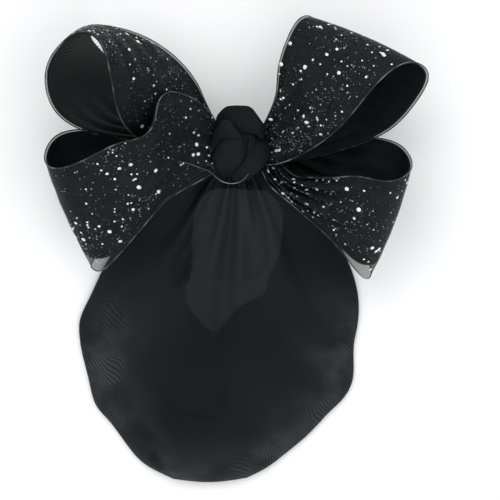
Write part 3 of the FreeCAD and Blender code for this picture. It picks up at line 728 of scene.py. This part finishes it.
def make_knot(finish):
    """The tied knot: a core, a strand over its top, and the folds on its three other sides."""
    core = knot_strap(
        "knot_core",
        [(-7, -0.6, 12.5), (-5, 0.4, 14.6), (0, 1.0, 16.0), (4.8, 0.8, 15.4), (7.2, 0.4, 12.6)],
        [13, 16, 17, 15, 12],
        [(0, 1, 0)] * 5,
        finish,
        crown=2.2,
        ribs=0.00004,
    )
    top = knot_strap(
        "knot_top_strand",
        [(-8.0, 8.4, 11.8), (-5.6, 9.0, 15.0), (-0.6, 8.8, 17.4), (4.6, 8.4, 17.4), (8.0, 6.4, 15.6),
         (8.8, 5.6, 12.6)],
        [5.6, 7.4, 8.6, 8.6, 7.6, 6.0],
        [(0.1, 1, 0.2), (0.05, 1, 0.2), (-0.05, 1, 0), (-0.12, 1, 0), (-0.2, 1, 0), (-0.2, 1, 0)],
        finish,
        crown=1.1,
        ribs=0.00011,
    )
    lobe = knot_strap(
        "knot_left_lobe",
        [(-9.8, 0.6, 11.6), (-9.4, 2.8, 14.6), (-7.0, 4.6, 17.2), (-3.4, 5.0, 18.4), (0.0, 3.6, 18.2),
         (2.0, 1.6, 16.2)],
        [6.0, 7.0, 7.2, 6.6, 5.6, 4.0],
        [(0.25, 1, 0.3), (0.2, 1, 0.2), (0.05, 1, 0.1), (-0.1, 1, 0), (-0.3, 0.9, 0), (-0.5, 0.8, 0)],
        finish,
        crown=1.3,
        ribs=0.00009,
    )
    facet = knot_strap(
        "knot_lower_left",
        [(2.6, 3.2, 16.2), (-0.4, 1.0, 18.2), (-3.4, -2.2, 18.4), (-4.9, -5.8, 16.6), (-4.8, -8.6, 13.2),
         (-4.2, -9.0, 11.4)],
        [5, 7.6, 9.2, 9.0, 7.4, 6],
        [(0.6, -0.8, 0), (0.7, -0.7, 0), (0.85, -0.5, 0), (0.96, -0.25, 0), (1, -0.1, 0), (1, 0, 0)],
        finish,
        crown=1.5,
        ribs=0.00003,
    )
    lower = knot_strap(
        "knot_lower_right",
        [(-2.4, -8.4, 12.6), (0.8, -7.4, 15.4), (4.4, -5.0, 16.2), (7.6, -1.0, 15.2), (9.0, 2.2, 12.0)],
        [5, 6.6, 7.4, 7.4, 6.4],
        [(0, 1, 0.2), (-0.3, 1, 0.2), (-0.5, 0.9, 0.1), (-0.7, 0.7, 0), (-0.8, 0.6, 0)],
        finish,
        crown=1.0,
    )
    for piece in (core, top, lobe, facet, lower):
        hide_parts("center_knot")


BAND_WIDTH = 9.0
BAND_CORNER = 1.2
BAND_OVER_TOP = 1.5         # over the CAD band's top, so that the ends are hidden in the knot
BAND_CLEAR = 0.55           # over the CAD band's underside, to clear the tension bar
COVER_RADIUS = 126.0        # of the arch that the cover strip follows
COVER_LEVEL = 1.0
COVER_THICK = 0.00028


def make_band(finish):
    """The knot ribbon's band, round the bow and the barrette."""
    low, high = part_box("center_wrap")
    half_y = high[1] / MM
    top = high[2] / MM + BAND_OVER_TOP
    bottom = low[2] / MM
    side = [
        (half_y - 1.6, top - 0.4),
        (half_y - 0.2, top - 3.2),
        (half_y, 6.0),
        (half_y, bottom + BAND_CORNER + 0.8),
        (half_y - BAND_CORNER, bottom + BAND_CLEAR + 0.05),
    ]
    up = [(0, y, z) for y, z in side]
    down = [(0, -y, z) for y, z in reversed(side)]
    path = up + [(0, 0, bottom + BAND_CLEAR)] + down
    band = strap("knot_band", path, [BAND_WIDTH] * len(path), [(1, 0, 0)] * len(path), finish)
    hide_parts("center_wrap")


def arch_strip(name, node_name, finish):
    """The grosgrain strip on the arched base, as wide and long as its CAD node."""
    low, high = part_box(node_name)
    path = []
    for share in np.linspace(-1, 1, 9):
        x = share * high[0] / MM
        path.append((x, 0, math.sqrt(COVER_RADIUS**2 - x**2) - COVER_RADIUS + COVER_LEVEL))
    width = (high[1] - low[1]) / MM
    strip = strap(name, path, [width] * len(path), [(0, 1, 0)] * len(path), finish, thick=COVER_THICK)
    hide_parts(node_name)


# ---------------------------------------------------------------- snood
# Its outline from the header down each side to the tip, in millimetres.
SNOOD_LEFT = [
    (-14.0, -7.0), (-16.5, -10.5), (-21.5, -15.0), (-28.5, -21.0), (-35.0, -27.5), (-39.9, -35.3),
    (-43.2, -42.4), (-46.1, -49.0), (-46.3, -53.5), (-45.6, -58.4), (-43.7, -66.1), (-41.6, -73.6),
    (-38.0, -78.0), (-33.3, -84.2), (-28.5, -89.9), (-23.7, -92.9), (-19.2, -95.0),
]
SNOOD_RIGHT = [
    (12.0, -7.0), (13.6, -10.5), (18.0, -15.0), (22.8, -20.5), (28.2, -27.0), (32.1, -34.8),
    (33.8, -41.0), (34.2, -46.5), (33.6, -52.0), (32.7, -57.5), (32.4, -66.5), (29.2, -72.4),
    (25.7, -75.8), (20.0, -81.8), (13.3, -87.5), (7.6, -91.8), (1.9, -94.7),
]
MOUTH = [
    (7.6, -12.0), (-0.5, -11.6), (-9.0, -12.4), (-13.0, -19.0), (-13.8, -27.0), (-14.2, -35.1),
    (-15.8, -42.6), (-12.0, -49.4), (-7.0, -52.6), (-3.0, -48.6), (1.6, -44.4), (7.0, -41.4),
    (8.6, -36.5), (10.9, -31.5), (12.4, -21.5), (11.2, -16.0),
]
ROWS = 230
COLUMNS = 190
HEADER_EDGE = 0.007         # how far below the origin the pouch leaves its tape
HEADER_FALL = 0.019         # and over what length it comes down to the table
OVER_HEADER = 0.0012        # the two layers' heights at the header
UNDER_HEADER = -0.0006
UNDER_LEVEL = 0.0004        # the under layer's height over the table
RIM_ALONG = 900


def bend_with_snood(piece):
    """Bakes the piece's placement into its points."""
    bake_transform(piece)


def snood_plan():
    """Where each row and column of the pouch lies, seen from above, and the columns' spacing."""
    left = spline(np.array(SNOOD_LEFT) * MM, ROWS)
    right = spline(np.array(SNOOD_RIGHT) * MM, ROWS)
    u = np.linspace(0, 1, COLUMNS)
    # the columns crowd towards the edges, so that the pouch turns over smoothly there
    eased = 0.5 - 0.5 * np.cos(math.pi * u)
    eased = 0.35 * u + 0.65 * eased
    plan = left[:, None, :] * (1 - eased[None, :, None]) + right[:, None, :] * eased[None, :, None]
    tip = np.linspace(0, 1, ROWS)[:, None]
    plan[:, :, 1] -= 0.0011 * tip**8 * np.sin(math.pi * eased)[None, :]
    return plan, eased


def ripple(plan, seed, scale):
    """Slow random height over the plan."""
    values = np.empty(plan.shape[:2])
    for i in range(plan.shape[0]):
        for j in range(plan.shape[1]):
            x, y = plan[i, j]
            values[i, j] = noise.noise(Vector((x * scale, y * scale, seed)))
    return values


def fallen(y):
    """0 at the header, where the pouch hangs from the barrette, to 1 where it lies on the table."""
    share = np.clip((-y - HEADER_EDGE) / HEADER_FALL, 0, 1)
    return share * share * (3 - 2 * share)


def gathers(plan):
    """Height of the gathers, which fan out from the header and fade away from it."""
    x, y = plan[:, :, 0], plan[:, :, 1]
    from_header = np.hypot(x + 0.001, (y + 0.004) * 0.9)
    bearing = np.arctan2(x + 0.001, -(y - 0.004))
    height = 0.0012 * np.exp(-((from_header / 0.034) ** 2)) + 0.0006 * np.exp(-((from_header / 0.07) ** 2))
    pleats = np.sin(bearing * 21 + 2.2 * ripple(plan, 3.1, 40)) + 0.5 * np.sin(bearing * 37 + 1.3)
    return height * pleats


def snood_layer(plan, eased, upper):
    """One layer of the pouch: crowned over, or lying on the table under."""
    down = np.linspace(0, 1, ROWS)[:, None]
    edge = (4 * eased * (1 - eased))[None, :] ** 0.6
    tip = np.clip((1 - down) / 0.06, 0, 1) ** 0.5
    lift = edge * tip
    if upper:
        slow = ripple(plan, 7.7, 34)
        ridged = 1 - np.abs(ripple(plan, 5.5, 55)) * 2
        rest = FLOOR + 0.0012 + lift * (0.0046 + 0.0018 * slow + 0.0017 * ridged**3)
        start, gather_share = OVER_HEADER, 1.0
    else:
        slow = ripple(plan, 2.2, 34)
        rest = FLOOR + UNDER_LEVEL + (1 - lift) * 0.0008 + lift * (0.0002 + 0.0002 * slow)
        start, gather_share = UNDER_HEADER, 0.4
    header = fallen(plan[:, :, 1])
    height = start * (1 - header) + rest * header
    height = height + gathers(plan) * lift * gather_share
    return np.dstack([plan[:, :, 0], plan[:, :, 1], np.maximum(height, FLOOR + 0.0002)])


def inside_mouth(x, y):
    """Which of the points are inside the mouth, and the mouth's ring."""
    ring = spline(np.array(MOUTH + MOUTH[:1]) * MM, 200)
    count = np.zeros(x.shape, int)
    for (x0, y0), (x1, y1) in zip(ring[:-1], ring[1:]):
        crosses = (y0 > y) != (y1 > y)
        with np.errstate(divide="ignore", invalid="ignore"):
            at = x0 + (y - y0) * (x1 - x0) / (y1 - y0)
        count += crosses & (x < at)
    return count % 2 == 1, ring


def painted_light_share(plan, eased):
    """How much painted light each point gets (the paler colour in the watered lines): most near the sides
    and the tip.
    """
    down = np.linspace(0, 1, ROWS)[:, None]
    across = np.abs(2 * eased - 1)[None, :]
    near = np.clip((across - 0.42) / 0.45, 0, 1) * np.clip((down - 0.3) / 0.2, 0, 1)
    tip = np.clip((down - 0.78) / 0.2, 0, 1)
    return np.clip(near + tip, 0, 1) ** 1.3


def store(piece, name, values):
    """Keeps a number for each point of a piece, for its material to read."""
    layer = piece.data.attributes.new(name, "FLOAT", "POINT")
    layer.data.foreach_set("value", values.reshape(-1))


def make_snood(finish):
    """The pouch: a whole front layer, a back layer with the mouth in it, and the mouth's rim."""
    plan, eased = snood_plan()
    over = snood_layer(plan, eased, True)
    under = snood_layer(plan, eased, False)
    # both layers meet along the sides and the tip
    seam = 0.5 * (over + under)
    for grid in (over, under):
        grid[:, 0] = seam[:, 0]
        grid[:, -1] = seam[:, -1]
        grid[-1] = seam[-1]
    cells = 0.25 * (plan[:-1, :-1] + plan[1:, :-1] + plan[:-1, 1:] + plan[1:, 1:])
    hole, ring = inside_mouth(cells[:, :, 0], cells[:, :, 1])
    # side: how much painted light the crepe lays on each point, stored for its material to read
    side = painted_light_share(plan, eased)
    top = grid_mesh("snood_front", over, finish, plan)
    back = grid_mesh("snood_back", under[:, ::-1], finish, plan[:, ::-1], keep=~hole[:, ::-1])
    store(top, "side", side)
    store(back, "side", side[:, ::-1])
    remove_loose(back)
    for piece in (top, back):
        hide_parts("snood_bag")
        bend_with_snood(piece)
    make_mouth(ring, finish)


def outward(line):
    """The direction away from a ring's middle, square to the ring, at each point."""
    along = np.gradient(line, axis=0)
    along /= np.linalg.norm(along, axis=1, keepdims=True)
    out = np.stack([along[:, 1], -along[:, 0]], axis=1)
    sign = np.sign(((line - line.mean(axis=0)) * out).sum(axis=1)).mean()
    return out * (1.0 if sign > 0 else -1.0)


def make_mouth(ring, finish):
    """The gathered rim of the mouth: a ruffled casing, with room for the elastic inside it."""
    at = np.linspace(0, len(ring) - 1, RIM_ALONG)
    line = np.column_stack([np.interp(at, np.arange(len(ring)), ring[:, axis]) for axis in (0, 1)])
    out = outward(line)
    run = running_length(line)
    ruffle = np.sin(run * 2400) + 0.6 * np.sin(run * 1500 + 1.0)
    share = fallen(line[:, 1])
    under = (1 - share) * UNDER_HEADER + share * (FLOOR + UNDER_LEVEL)
    columns = []
    for turn in np.linspace(0, TURN, 13):
        reach = 0.0011 + 0.00095 * math.cos(turn) + 0.00018 * ruffle
        height = under + 0.00065 + 0.0005 * math.sin(turn) + 0.00012 * ruffle
        columns.append(np.column_stack([line + out * reach[:, None], height]))
    casing = grid_mesh("snood_rim", np.stack(columns, axis=1), finish)
    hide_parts("snood_hem", "snood_elastic")
    bend_with_snood(casing)


def make_header(finish):
    """The tape that holds the snood's gathered top to the barrette."""
    low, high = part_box("snood_header_tape")
    y = (low[1] + 0.0012) / MM
    z = (low[2] + 0.0002) / MM
    path = [(low[0] / MM, y, z - 0.8), (-8, y, z), (0, y, z + 0.1), (7, y, z), (high[0] / MM, y, z - 0.5)]
    tape = strap("header_tape", path, [3.0] * 5, [(0, 1, 0)] * 5, finish, thick=0.0004)
    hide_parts("snood_header_tape")


# ---------------------------------------------------------------- the whole object
def finish_cad(names, material):
    """Gives carried-over CAD nodes their material."""
    for name in names:
        piece = bpy.data.objects[name]
        piece.data.materials.clear()
        piece.data.materials.append(material)


make_camera()
make_studio()
black_ribbed = grosgrain()
finishes = {
    "sheer": glitter_sheer(),
    "dots": silver_dots("silver_dots", (0.62, 0.64, 0.65), (0.92, 0.93, 0.94)),
    "dust": silver_dots("silver_dust", (0.16, 0.17, 0.18), (0.55, 0.56, 0.57)),
    "grosgrain": black_ribbed,
    "wire": wire_with_painted_glints("edge_wire", (0.008, 0.009, 0.010)),
    "bright_wire": wire_with_painted_glints("bright_wire", (0.07, 0.075, 0.08)),
}
make_ribbon("a", RIBBON_A, finishes)
make_ribbon("b", RIBBON_B, finishes)
make_knot(black_ribbed)
make_band(black_ribbed)
arch_strip("cover_strip", "barrette_cover", black_ribbed)
make_snood(crepe())
make_header(black_ribbed)
plated = steel("clip_steel", (0.62, 0.62, 0.63), 0.3)
finish_cad(["barrette_base", "clasp_arm", "hinge_pin", "catch_saddle", "catch_rivet"], plated)
sprung = steel("spring_steel", (0.46, 0.47, 0.5), 0.36)
finish_cad(["tension_bar", "catch_prong_upper", "catch_prong_lower"], sprung)
finish_cad(["binding_thread", "attachment_stitches"], grosgrain("thread"))
finish_cad(["glue_pad"], glue_finish())
